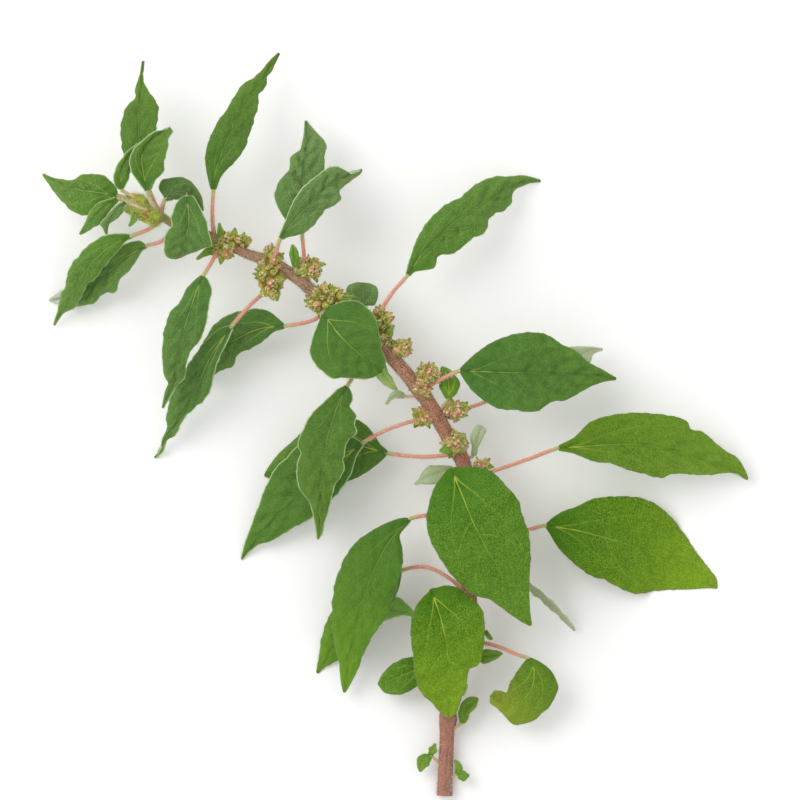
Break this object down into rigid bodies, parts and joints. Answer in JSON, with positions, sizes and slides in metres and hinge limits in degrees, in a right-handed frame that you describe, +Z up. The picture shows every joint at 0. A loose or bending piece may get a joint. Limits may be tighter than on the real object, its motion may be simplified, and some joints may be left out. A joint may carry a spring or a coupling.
{
  "type": "cut sprig of pellitory-of-the-wall",
  "caption": "Cut flowering sprig lying on a surface: a bent downy stem with pointed, waved leaves on thin stalks and dense clusters of tiny flowers in the leaf axils.",
  "frame": {"origin": "on the surface that the sprig lies on, under the middle of its outline seen from above", "axes": "+Z up from the surface; +Y from the cut end of the stem towards the far side that its top reaches; +X to the right, away from the side that the top bends to"},
  "size_m": [0.1771, 0.1865, 0.0301],
  "materials": {
    "stem": "downy, dull",
    "lower_leaf": "satin with fine hairs",
    "upper_leaf": "satin with fine hairs",
    "young_leaf": "satin with fine hairs",
    "flowers": "dull, downy"
  },
  "bodies": {
    "root": {"stem": "stem", "leaf_01": "lower_leaf", "leaf_02": "lower_leaf", "leaf_03": "lower_leaf", "leaf_04": "lower_leaf", "leaf_05": "lower_leaf", "leaf_06": "lower_leaf", "leaf_07": "lower_leaf", "leaf_08": "lower_leaf", "leaf_09": "lower_leaf", "leaf_10": "lower_leaf", "leaf_11": "lower_leaf", "leaf_12": "lower_leaf", "leaf_13": "lower_leaf", "leaf_14": "lower_leaf", "leaf_15": "lower_leaf", "leaf_16": "upper_leaf", "leaf_17": "upper_leaf", "leaf_18": "upper_leaf", "leaf_19": "upper_leaf", "leaf_20": "upper_leaf", "leaf_21": "upper_leaf", "leaf_22": "upper_leaf", "leaf_23": "upper_leaf", "leaf_24": "upper_leaf", "leaf_25": "upper_leaf", "leaf_26": "upper_leaf", "leaf_27": "upper_leaf", "leaf_28": "upper_leaf", "leaf_29": "upper_leaf", "leaf_30": "upper_leaf", "leaf_31": "upper_leaf", "leaf_32": "upper_leaf", "leaf_33": "upper_leaf", "small_leaf_01": "young_leaf", "small_leaf_02": "young_leaf", "small_leaf_03": "young_leaf", "small_leaf_04": "young_leaf", "small_leaf_05": "young_leaf", "small_leaf_06": "young_leaf", "small_leaf_07": "young_leaf", "small_leaf_08": "young_leaf", "small_leaf_09": "young_leaf", "small_leaf_10": "young_leaf", "small_leaf_11": "young_leaf", "shoot_left": "young_leaf", "shoot_right": "young_leaf", "flowers_01": "flowers", "flowers_02": "flowers", "flowers_03": "flowers", "flowers_04": "flowers", "flowers_05": "flowers", "flowers_06": "flowers", "flowers_07": "flowers", "flowers_08": "flowers", "flowers_09": "flowers", "flowers_10": "flowers", "flowers_11": "flowers", "apex_bud": "flowers"}
  },
  "joints": []
}
